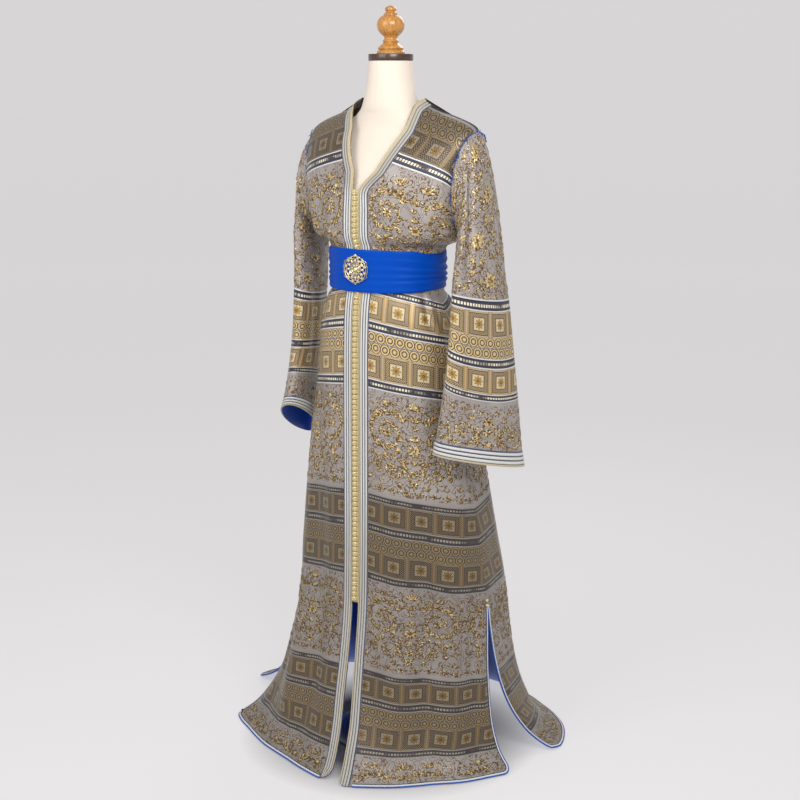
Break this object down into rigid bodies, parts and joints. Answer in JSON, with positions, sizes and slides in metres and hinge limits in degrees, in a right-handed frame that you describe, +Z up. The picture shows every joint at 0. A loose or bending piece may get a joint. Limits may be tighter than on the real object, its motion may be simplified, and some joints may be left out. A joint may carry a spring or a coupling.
{
  "type": "moroccan kaftan on a dress form",
  "caption": "Long open-front kaftan of figured brocade with wide sleeves, side slits and a sash belt, worn by a limbless dress form on a round foot.",
  "frame": {"origin": "middle of the underside of the stand's foot, on the floor, under the dress form's neck", "axes": "+Z up, the garment's front faces -Y, the wearer's left is +X"},
  "size_m": [0.8326, 0.6937, 1.6635],
  "materials": {
    "brocade": "silver lilac and gold figured brocade",
    "lining": "blue satin",
    "trim": "woven braid, white, navy and pale gold stripes",
    "gold": "gold thread knots and braid",
    "buckle": "gilt cast filigree",
    "sash": "royal blue satin",
    "linen": "cream jersey over a moulded shell",
    "dark_wood": "dark lacquered wood",
    "wood": "turned honey wood, lacquered",
    "steel": "grey powder coat"
  },
  "bodies": {
    "root": {"front_left": "brocade", "front_right": "brocade", "back": "brocade", "sleeve_left": "brocade", "sleeve_right": "brocade", "lining_front_left": "lining", "lining_front_right": "lining", "lining_back": "lining", "trim_front_left": "trim", "trim_front_right": "trim", "trim_back_neck": "trim", "trim_cuff_left": "trim", "trim_cuff_right": "trim", "piping_front_left": "trim", "piping_front_right": "trim", "piping_back": "trim", "button_braid": "gold", "belt": "sash", "buckle_plate": "buckle", "buckle_rosette": "buckle", "dress_form": "linen", "neck_cap": "dark_wood", "finial": "wood", "pole": "steel", "foot": "steel"}
  },
  "joints": []
}
